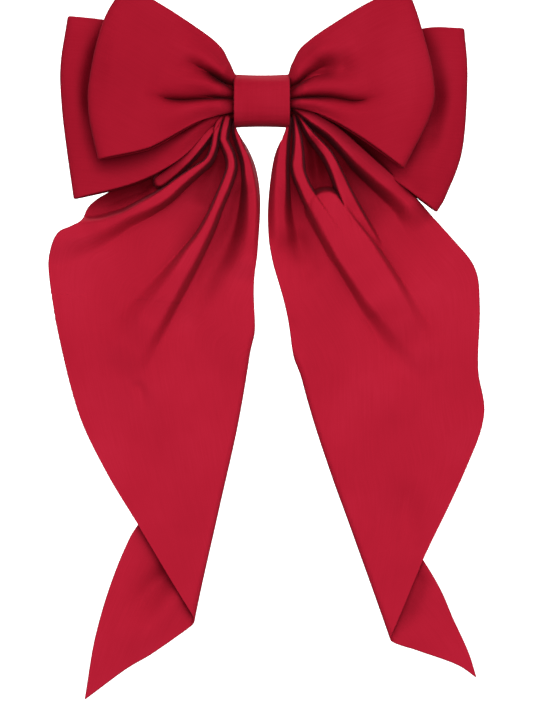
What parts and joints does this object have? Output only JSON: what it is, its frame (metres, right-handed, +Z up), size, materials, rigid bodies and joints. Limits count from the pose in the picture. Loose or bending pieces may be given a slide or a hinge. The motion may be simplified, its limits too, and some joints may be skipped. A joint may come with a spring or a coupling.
{
  "type": "hair bow",
  "caption": "Long-tailed satin hair bow with doubled loops and a gathered centre wrap, bound to a hinged French barrette.",
  "frame": {"origin": "middle of the gap between the tension spring and the clasp arm, where the hair passes", "axes": "+Z up, +Y from the bow's front towards the wearer's head, +X to the right seen from the front"},
  "size_m": [0.1877, 0.0484, 0.2974],
  "materials": {
    "satin": "satin",
    "thread": "matte",
    "plated_steel": "satin",
    "spring_steel": "gloss"
  },
  "bodies": {
    "bow_and_clip": {"centre_wrap": "satin", "front_bow": "satin", "rear_bow": "satin", "tails_neck": "satin", "front_bow_thread": "thread", "rear_bow_thread": "thread", "tails_thread": "thread", "binding_thread": "thread", "base_plate": "plated_steel", "hinge_pin": "plated_steel", "tension_spring": "spring_steel", "spring_rivet": "plated_steel", "catch_bracket": "plated_steel", "catch_rivet": "plated_steel"},
    "clasp_arm": {"clasp_arm": "plated_steel"},
    "catch_wing_upper": {"catch_wing_upper": "spring_steel"},
    "catch_wing_lower": {"catch_wing_lower": "spring_steel"},
    "tail_left": {"tail_left": "satin"},
    "tail_right": {"tail_right": "satin"}
  },
  "joints": [
    {"name": "clasp_hinge", "type": "hinge", "parent": "bow_and_clip", "child": "clasp_arm", "pos_m": [-0.0395, 0.005, 0], "axis": [0, 0, 1], "range_deg": [0, 105]},
    {"name": "upper_catch_pinch", "type": "hinge", "parent": "bow_and_clip", "child": "catch_wing_upper", "pos_m": [0.04025, -0.0007, 0.0018], "axis": [-1, 0, 0], "range_deg": [0, 5], "stiffness_Nm_per_rad": 0.2},
    {"name": "lower_catch_pinch", "type": "hinge", "parent": "bow_and_clip", "child": "catch_wing_lower", "pos_m": [0.04025, -0.0007, -0.0018], "axis": [1, 0, 0], "range_deg": [0, 5], "stiffness_Nm_per_rad": 0.2},
    {"name": "left_tail_swing", "type": "hinge", "parent": "bow_and_clip", "child": "tail_left", "pos_m": [0, -0.0042, -0.009], "axis": [1, 0, 0], "range_deg": [0, 50]},
    {"name": "right_tail_swing", "type": "hinge", "parent": "bow_and_clip", "child": "tail_right", "pos_m": [0, -0.0042, -0.009], "axis": [1, 0, 0], "range_deg": [0, 50]}
  ]
}
